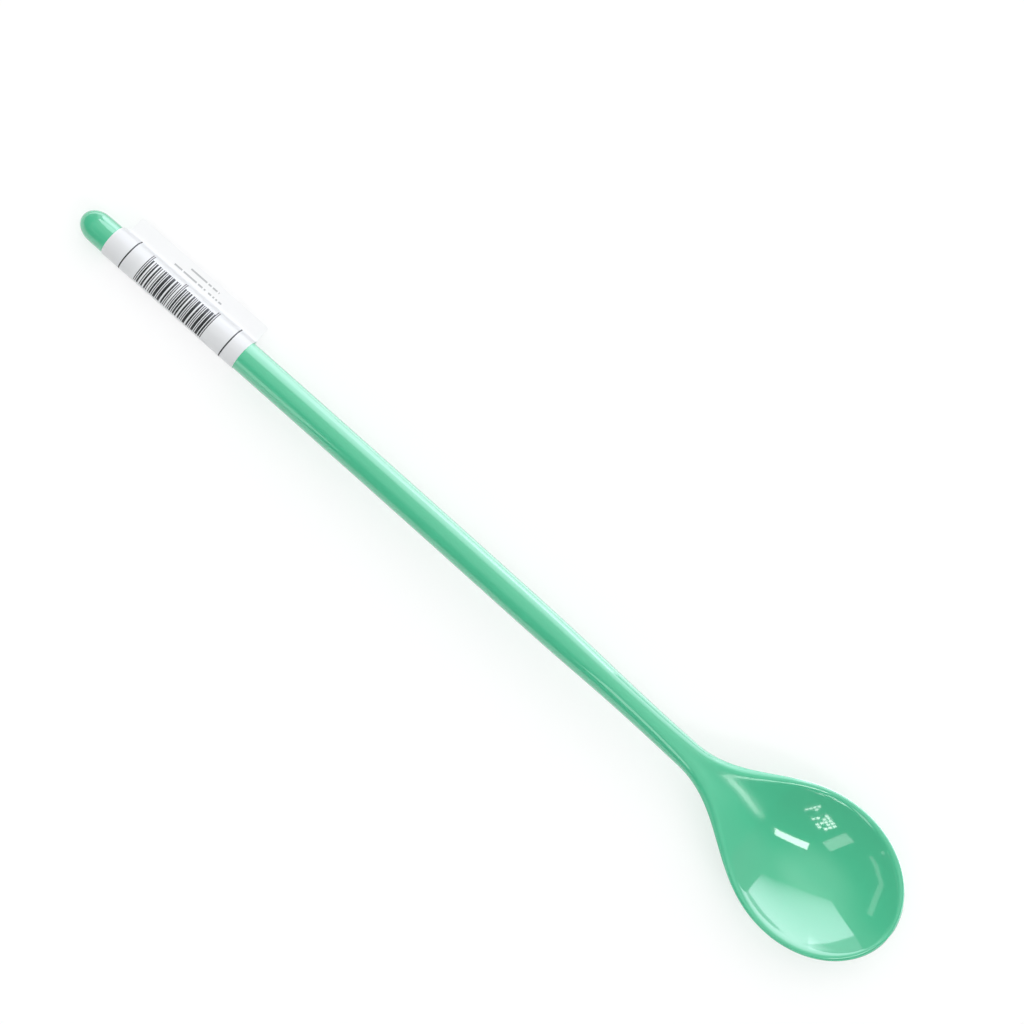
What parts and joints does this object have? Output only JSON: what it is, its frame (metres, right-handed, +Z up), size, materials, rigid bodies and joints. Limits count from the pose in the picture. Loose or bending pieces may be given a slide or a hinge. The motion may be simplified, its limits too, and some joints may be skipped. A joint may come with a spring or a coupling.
{
  "type": "long-handled spoon",
  "caption": "Long-handled serving spoon: a slim, gently arched round handle that flows into a deep egg-shaped bowl with a rounded lip, and a small flag label stuck round the handle.",
  "frame": {"origin": "on the surface that the spoon lies on, under the middle of its length and width", "axes": "+X from the end of the handle to the tip of the bowl, +Z up out of the bowl, +Y to the side that the label's flag points to"},
  "size_m": [0.305, 0.0446, 0.0191],
  "materials": {
    "mint_melamine": "glossy mint-green moulded melamine",
    "label_film": "semi-gloss white label film"
  },
  "bodies": {
    "root": {"spoon": "mint_melamine", "flag_label": "label_film"}
  },
  "joints": []
}
